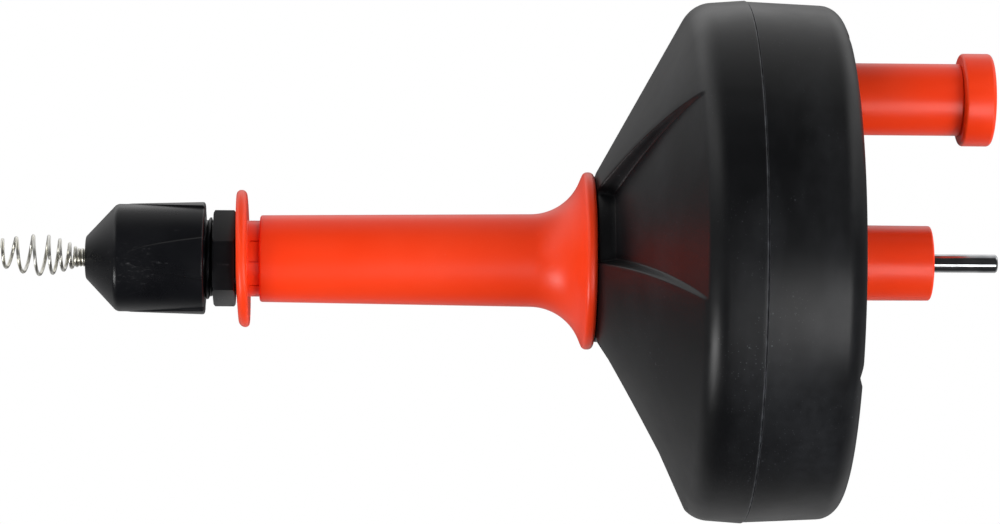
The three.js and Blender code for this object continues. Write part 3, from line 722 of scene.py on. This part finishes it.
def chuck_body():
    """The hexagon with its trimmed corners, and the spigot with a helical thread."""
    low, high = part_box("chuck_body")
    hex_front = high.x - 7.8 * MM
    thread_radius = 14.5 * MM
    root_radius = 13.5 * MM
    across = 30 * MM
    corner = across / 2 / math.cos(math.pi / 6)
    hexes = prism("chuck", hexagon(across, 20), hex_front, high.x)
    trim = turned(
        "trim",
        [
            (hex_front - MM, 0), (hex_front - MM, corner - 1.9 * MM), (hex_front, corner - 1 * MM),
            (hex_front + 0.6 * MM, corner + 0.1 * MM), (high.x - 0.6 * MM, corner + 0.1 * MM),
            (high.x, corner - 1 * MM), (high.x + MM, corner - 1.9 * MM), (high.x + MM, 0),
        ],
        96,
    )
    combine(hexes, [trim], "INTERSECT", sharp=20)
    bevel(hexes, 0.22 * MM, limit=25)
    # The spigot's thread: rows round the axis whose radius follows a helix.
    pitch = 2.5 * MM
    per_pitch = 10
    segments = 72
    rows = int((hex_front - 0.5 * MM - low.x) / pitch * per_pitch)
    vertices = []
    for i in range(rows + 1):
        x = low.x + i * pitch / per_pitch
        for j in range(segments):
            phase = (x - hex_front) / pitch - j / segments + 0.1
            wave = phase - math.floor(phase)
            ridge = min(max((0.36 - abs(wave - 0.5)) / 0.2, 0), 1)
            fade = min(max((x - low.x) / MM, 0), 1)
            y, z = around(360 * j / segments, root_radius + (thread_radius - root_radius) * ridge * fade)
            vertices.append((x, y, z))
    bore = 8.9 * MM
    neck = root_radius - 0.3 * MM
    inside = hex_front + 0.5 * MM
    extra = [(hex_front - 0.3 * MM, neck), (inside, neck), (inside, bore), (low.x, bore)]
    for x, r in extra:
        for j in range(segments):
            y, z = around(360 * j / segments, r)
            vertices.append((x, y, z))
    count = rows + 1 + len(extra)
    faces = []
    for i in range(count):
        for j in range(segments):
            k = (j + 1) % segments
            n = (i + 1) % count
            faces.append([i * segments + j, i * segments + k, n * segments + k, n * segments + j])
    spigot = mesh_object("spigot", vertices, faces, sharp=50)
    combine(hexes, [rod("hole", hex_front - MM, high.x + MM, 9.3 * MM, 64)], sharp=40)
    return combine(hexes, [spigot], "UNION", sharp=40)


def nose_nut():
    """The nut, with its four tongues in the same grid of rows along X and columns round it."""
    low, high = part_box("nose_nut")
    radius = 19 * MM
    cable_hole = 3.9 * MM
    thread_hole = 14.8 * MM
    cone_rear = low.x + 10.9 * MM
    tip = low.x + 14.6 * MM
    rim = rounded(
        [
            (low.x, cable_hole, 0.2 * MM),
            (low.x, 7.4 * MM, 1 * MM),
            (cone_rear, radius, 2.6 * MM),
            (high.x, radius, 0.8 * MM),
            (high.x, thread_hole, 0.4 * MM),
        ],
        steps=6,
    )
    shoulder_end = next(i for i, p in enumerate(rim) if p.x > cone_rear and p.y > radius - 1e-6)
    front = rim[: shoulder_end + 1]
    rear = rim[shoulder_end + 1 :]
    straight = 30
    start_x, end_x = front[-1].x, rear[0].x
    body = [Vector((start_x + (end_x - start_x) * i / straight, radius)) for i in range(1, straight)]
    inside = [
        Vector((low.x + 17.7 * MM, thread_hole)), Vector((low.x + 15.1 * MM, 12.2 * MM)),
        Vector((low.x + 2.7 * MM, 6 * MM)), Vector((low.x + 2.7 * MM, cable_hole)),
    ]
    outline = front + body + rear + inside
    # Across a tongue's edge: how far across, and the height as a share of the tongue's.
    edge = [(0, 0), (0.3, 0.1), (0.5, 0.5), (0.7, 0.9), (1, 1)]
    columns = []
    for centre in (0, 90, 180, 270):
        columns += [(centre, "rise", place, height) for place, height in edge]
        columns += [(centre, "top", k / 16, 1) for k in range(1, 16)]
        columns += [(centre, "fall", 1 - place, height) for place, height in reversed(edge)]
        columns += [(centre, "land", k / 18, 0) for k in range(1, 18)]
    edge_run = 3

    def column_angle(column, half):
        centre, part, share, _ = column
        if part == "rise":
            return centre - half - edge_run / 2 + edge_run * share
        if part == "top":
            return centre - half + edge_run / 2 + (2 * half - edge_run) * share
        if part == "fall":
            return centre + half - edge_run / 2 + edge_run * share
        return centre + half + edge_run / 2 + (90 - 2 * half - edge_run) * share

    vertices = []
    for point in outline:
        along = min(max((point.x - tip) / (high.x - tip), 0), 1)
        outside = point.y > radius - 0.6 * MM
        half = edge_run / 2 + 0.2 + 20.4 * math.sqrt(along)
        proud = (0.12 + 0.78 * along) * MM * min(along / 0.05, 1) if outside else 0
        for column in columns:
            y, z = around(column_angle(column, half), point.y + proud * column[3])
            vertices.append((point.x, y, z))
    count = len(columns)
    faces = []
    for i in range(len(outline)):
        for j in range(count):
            k = (j + 1) % count
            n = (i + 1) % len(outline)
            faces.append([i * count + j, i * count + k, n * count + k, n * count + j])
    return mesh_object("nose", vertices, faces, sharp=50)


# ---- Cable ----
WIRE_RADIUS = 0.6 * MM
# The spring tip, in millimetres: turns from the free end, X from the tip, radius and rise of the centre.
TIP_TURNS = [
    (-0.2, 0.2, 4.3, 1.7), (0, 0.6, 4.5, 1.5), (0.5, 2.4, 5.0, 1.3), (1, 5.4, 5.6, 1.1),
    (2, 11.4, 6.7, 0.75), (3, 16.9, 6.7, 0.6), (4, 20.8, 5.6, 0.5), (5, 24.3, 4.4, 0.35),
    (6, 26.3, 3.3, 0.1), (7, 27.6, 2.65, 0),
]


def tip_place(turn):
    """X from the tip, radius and rise at a turn of the spring, smooth between the listed turns."""
    for i in range(len(TIP_TURNS) - 1):
        if turn <= TIP_TURNS[i + 1][0]:
            break
    before = TIP_TURNS[max(i - 1, 0)]
    start, end = TIP_TURNS[i], TIP_TURNS[i + 1]
    after = TIP_TURNS[min(i + 2, len(TIP_TURNS) - 1)]
    span = end[0] - start[0]
    t = min(max((turn - start[0]) / span, 0), 1)
    values = []
    for k in (1, 2, 3):
        slope_in = (end[k] - before[k]) / max(end[0] - before[0], 1e-6) * span
        slope_out = (after[k] - start[k]) / max(after[0] - start[0], 1e-6) * span
        values.append(
            (2 * t**3 - 3 * t**2 + 1) * start[k]
            + (t**3 - 2 * t**2 + t) * slope_in
            + (3 * t**2 - 2 * t**3) * end[k]
            + (t**3 - t**2) * slope_out
        )
    return values


def snake_wire():
    """The whole straight cable: one wire, open at the tip and close-wound from there to the drum."""
    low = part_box("bulb_tip")[0]
    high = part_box("cable_lead")[1]
    pitch = 1.24 * MM
    wound_radius = 2.65 * MM
    tip_turns = 7
    tip_points = 26  # in each turn
    wound_points = 18
    path = []
    for k in range(-5, tip_turns * tip_points + 1):
        turn = k / tip_points
        x, radius, rise = tip_place(turn)
        y, z = around(90 - 360 * turn, radius * MM)
        lean = 0.048 * (z - radius * MM) * min(tip_turns - turn, 1)
        path.append(Vector((low.x + x * MM + lean, y, z + rise * MM)))
    x = path[-1].x
    turn = tip_turns
    while x < high.x - WIRE_RADIUS:
        turn += 1 / wound_points
        x += pitch / wound_points
        y, z = around(90 - 360 * turn, wound_radius)
        path.append(Vector((x, y, z)))
    return wire_mesh("snake_cable", path, WIRE_RADIUS)


# ---- Drive hub, shank, knob and screws ----
def drive_hub():
    low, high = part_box("drive_hub")
    outline = rounded(
        [
            (low.x, 3.6 * MM, 0),
            (low.x, 22 * MM, 0.4 * MM),
            (low.x + 3.2 * MM, 22 * MM, 0.4 * MM),
            (low.x + 3.2 * MM, 13.45 * MM, 0),
            (high.x, 13.3 * MM, 0.8 * MM),
            (high.x, 3.6 * MM, 0.25 * MM),
        ],
        steps=6,
    )
    return turned("hub", outline, 128, sharp=40)


def drive_shank():
    """A round shank with three flats, which start a little inside the hub."""
    low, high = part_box("drive_shank")
    hub_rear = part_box("drive_hub")[1].x
    radius = 3.25 * MM
    corners = [(low.x, 0, 0), (low.x, radius, 0.2 * MM), (high.x, radius, 1 * MM), (high.x, 0, 0)]
    shank = turned("shank", rounded(corners, steps=8), 96, sharp=30)
    flat = 3.04 * MM  # from the axis
    length = high.x - hub_rear + 14 * MM
    centre = (hub_rear - 12 * MM + length / 2, 0, flat + 2 * MM)
    size = (length, 10 * MM, 4 * MM)
    flats = [box_tool("flat", size, centre, 90 - angle) for angle in (14.6, 134.6, 254.6)]
    combine(shank, flats, sharp=6)
    return bevel(shank, 0.08 * MM, limit=8)


def knob():
    """The turning sleeve of the crank and its cap."""
    low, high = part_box("knob_sleeve")
    centre = (0, (low.z + high.z) / 2)
    radius = (high.z - low.z) / 2
    pin_hole = 4.3 * MM
    nut_hole = 10.8 * MM
    nut_seat = high.x - 8.1 * MM
    sleeve = turned(
        "knob_sleeve_skin",
        rounded(
            [
                (low.x, pin_hole, 0),
                (low.x, radius, 0.8 * MM),
                (high.x, radius, 0.15 * MM),
                (high.x, nut_hole, 0),
                (nut_seat, nut_hole, 0),
                (nut_seat, pin_hole, 0),
            ],
            steps=6,
        ),
        128,
        sharp=40,
        centre=centre,
    )
    front = high.x + 0.3 * MM
    low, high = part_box("knob_cap")
    radius = (high.z - low.z) / 2
    plug = 10.5 * MM
    cap = turned(
        "knob_cap_skin",
        rounded(
            [
                (low.x, 0, 0),
                (low.x, plug, 0.4 * MM),
                (front, plug, 0),
                (front, radius, 1.3 * MM),
                (high.x, radius, 1.5 * MM),
                (high.x, 0, 0),
            ],
            steps=8,
        ),
        128,
        sharp=40,
        centre=centre,
    )
    return sleeve, cap


def pan_head(node, shaft, head):
    """A pan head screw with a cross recess, in the place of a CAD screw."""
    low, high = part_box(node)
    centre = ((low.y + high.y) / 2, (low.z + high.z) / 2)
    seat = high.x - head * 0.6
    outline = rounded(
        [(low.x, 0, 0), (low.x + shaft, shaft, 0), (seat, shaft, 0), (seat, head, 0.1 * MM),
         (seat + head * 0.35, head, head * 0.3), (high.x, head * 0.6, head * 0.25), (high.x, 0, 0)],
        steps=4,
    )
    screw = turned(node + "_skin", outline, 32, sharp=40, centre=centre)
    depth, across, slot = head * 0.8, head * 1.05, head * 0.22
    sizes = ((depth, across, slot), (depth, slot, across))
    return combine(screw, [box_tool("cross", size, (high.x, *centre)) for size in sizes], sharp=40)


make_camera()
materials = make_materials()
put(grip_sleeve(), "grip", "red_plastic", "grip_sleeve")
put(grip_flange(), "grip", "red_plastic", "grip_front_flange")
put(front_shell(), "drum", "black_plastic", "front_shell")
put(rear_shell(), "drum", "black_plastic", "rear_shell")
put(chuck_body(), "drum", "chuck_plastic", "chuck_body")
put(nose_nut(), "nose", "chuck_plastic", "nose_nut")
put(snake_wire(), "cable", "spring_wire", "cable_lead", "bulb_tip")
put(drive_hub(), "drum", "red_plastic", "drive_hub")
put(drive_shank(), "drum", "shank_steel", "drive_shank")
knob_sleeve, knob_cap = knob()
put(knob_sleeve, "knob", "red_plastic", "knob_sleeve")
put(knob_cap, "knob", "red_plastic", "knob_cap")
for kind, count, shaft_radius, head_radius in (
    ("shell_screw", 4, 1.7 * MM, 3.7 * MM),
    ("hub_screw", 3, 1.3 * MM, 2.8 * MM),
):
    for number in range(1, count + 1):
        screw_node = f"{kind}_{number}"
        put(pan_head(screw_node, shaft_radius, head_radius), "drum", "zinc_plate", screw_node)

# The CAD nodes that stay are inside. Each takes the material of its slot.
for part in frame["record"]["subparts"]:
    node = nodes[part["node"]]
    if not node.hide_render:
        node.data.materials.clear()
        node.data.materials.append(materials[part["material_slot"]])


# ---- Floor and light ----
FLOOR_Z = -0.8
FLOOR_RADIUS = 2.6
LEFT_LIGHT = 1.9
RIGHT_LIGHT = 2.0
LOW_SHARE = 0.04  # of the side light, below the object
BACK_LIGHT = 1.15  # above and below; less at the level of the object and straight overhead
BACK_LEVEL = 0.08
OVERHEAD_LOSS = 0.6
FRONT_LIGHT = 0.035


def make_floor():
    floor = rod("floor", 0, -10 * MM, FLOOR_RADIUS, 96)
    lay_flat = Matrix.Rotation(math.radians(-90), 4, "Y")
    floor.data.transform(Matrix.Translation((0, 0, FLOOR_Z)) @ lay_flat)
    shader = Shader("floor")
    # Pale where the camera sees it. In reflections it is pale behind the object only.
    far = shader.ramp(shader.axis("Y"), 0.1, 0.8, 0, 1)
    reflected = shader.blend(far, (0.02, 0.02, 0.02), (0.6, 0.6, 0.6))
    seen = shader.add("ShaderNodeLightPath").outputs["Is Camera Ray"]
    shader.link(shader.blend(seen, reflected, (0.82, 0.82, 0.82)), shader.surface.inputs["Base Color"])
    shader.set(Roughness=0.8)
    floor.data.materials.append(shader.material)


def make_world():
    """White to the camera. As light it is dim in front, brighter at both sides above, and behind."""
    world = bpy.data.worlds.new("world")
    world.use_nodes = True
    tree = world.node_tree
    background = tree.nodes["Background"]

    def maths(operation, first, second=0.0):
        made = tree.nodes.new("ShaderNodeMath")
        made.operation = operation
        for socket, value in zip(made.inputs, (first, second)):
            if isinstance(value, float):
                socket.default_value = value
            else:
                tree.links.new(value, socket)
        return made.outputs[0]

    def step(value, low, high):
        made = tree.nodes.new("ShaderNodeMapRange")
        made.interpolation_type = "SMOOTHSTEP"
        made.inputs["From Min"].default_value = low
        made.inputs["From Max"].default_value = high
        tree.links.new(value, made.inputs["Value"])
        return made.outputs["Result"]

    direction = tree.nodes.new("ShaderNodeTexCoord").outputs["Generated"]
    split = tree.nodes.new("ShaderNodeSeparateXYZ")
    tree.links.new(direction, split.inputs[0])
    x, y, z = split.outputs
    right = maths("MULTIPLY", step(x, 0.35, 0.75), RIGHT_LIGHT)
    left = maths("MULTIPLY", step(maths("MULTIPLY", x, -1.0), 0.35, 0.75), LEFT_LIGHT)
    upper = maths("ADD", maths("MULTIPLY", step(z, 0.25, 0.8), 1.0 - LOW_SHARE), LOW_SHARE)
    side = maths("MULTIPLY", maths("ADD", left, right), upper)
    behind = step(y, -0.45, 0.25)
    key = maths("MULTIPLY", side, maths("SUBTRACT", 1.0, behind))
    height = maths("ABSOLUTE", z)
    back = maths("ADD", maths("MULTIPLY", step(height, 0.05, 0.8), BACK_LIGHT), BACK_LEVEL)
    overhead = maths("ADD", maths("MULTIPLY", step(height, 0.55, 0.95), -OVERHEAD_LOSS), 1.0)
    back = maths("MULTIPLY", maths("MULTIPLY", back, overhead), behind)
    light = maths("ADD", maths("ADD", key, back), FRONT_LIGHT)
    tree.links.new(light, background.inputs["Strength"])
    background.inputs["Color"].default_value = (1, 1, 1, 1)
    white = tree.nodes.new("ShaderNodeBackground")
    white.inputs["Color"].default_value = (1, 1, 1, 1)
    mix = tree.nodes.new("ShaderNodeMixShader")
    tree.links.new(tree.nodes.new("ShaderNodeLightPath").outputs["Is Camera Ray"], mix.inputs[0])
    tree.links.new(background.outputs[0], mix.inputs[1])
    tree.links.new(white.outputs[0], mix.inputs[2])
    tree.links.new(mix.outputs[0], tree.nodes["World Output"].inputs["Surface"])
    bpy.context.scene.world = world


def area_light(name, place, target, size, power, lights=True, mirrored=True):
    """A soft box. It can be left out of matt surfaces' light, or out of reflections."""
    data = bpy.data.lights.new(name, "AREA")
    data.shape = "RECTANGLE"
    data.size, data.size_y = size
    data.energy = power
    light = bpy.data.objects.new(name, data)
    light.location = place
    light.rotation_euler = (Vector(target) - Vector(place)).to_track_quat("-Z", "Y").to_euler()
    light.visible_camera = False
    light.visible_diffuse = lights
    light.visible_glossy = mirrored
    bpy.context.scene.collection.objects.link(light)


def make_lights():
    middle = (0, 0, 0)
    drum = (0.12, 0, 0)
    area_light("front_soft_box", (0.3, -0.55, -0.28), drum, (0.75, 0.3), 1.2, mirrored=False)
    area_light("left_soft_box", (-1.2, -1.4, 0.7), middle, (1.2, 1.2), 14, mirrored=False)
    area_light("right_soft_box", (1.4, -1.4, 0.8), (0.05, 0, 0), (1.2, 1.2), 14, mirrored=False)
    area_light("drum_sheen", (0.3, -0.55, -0.22), drum, (0.3, 0.3), 0.95, lights=False)
    area_light("left_low_box", (-0.85, -0.55, -0.7), middle, (0.5, 0.4), 6)
    area_light("right_low_box", (1.1, -0.5, -0.65), (0.05, 0, 0), (1.0, 0.7), 18, mirrored=False)
    area_light("left_floor_box", (-0.6, -0.5, -0.7), middle, (0.9, 0.5), 4, mirrored=False)


make_floor()
make_world()
make_lights()
bpy.context.scene.view_settings.view_transform = "Standard"
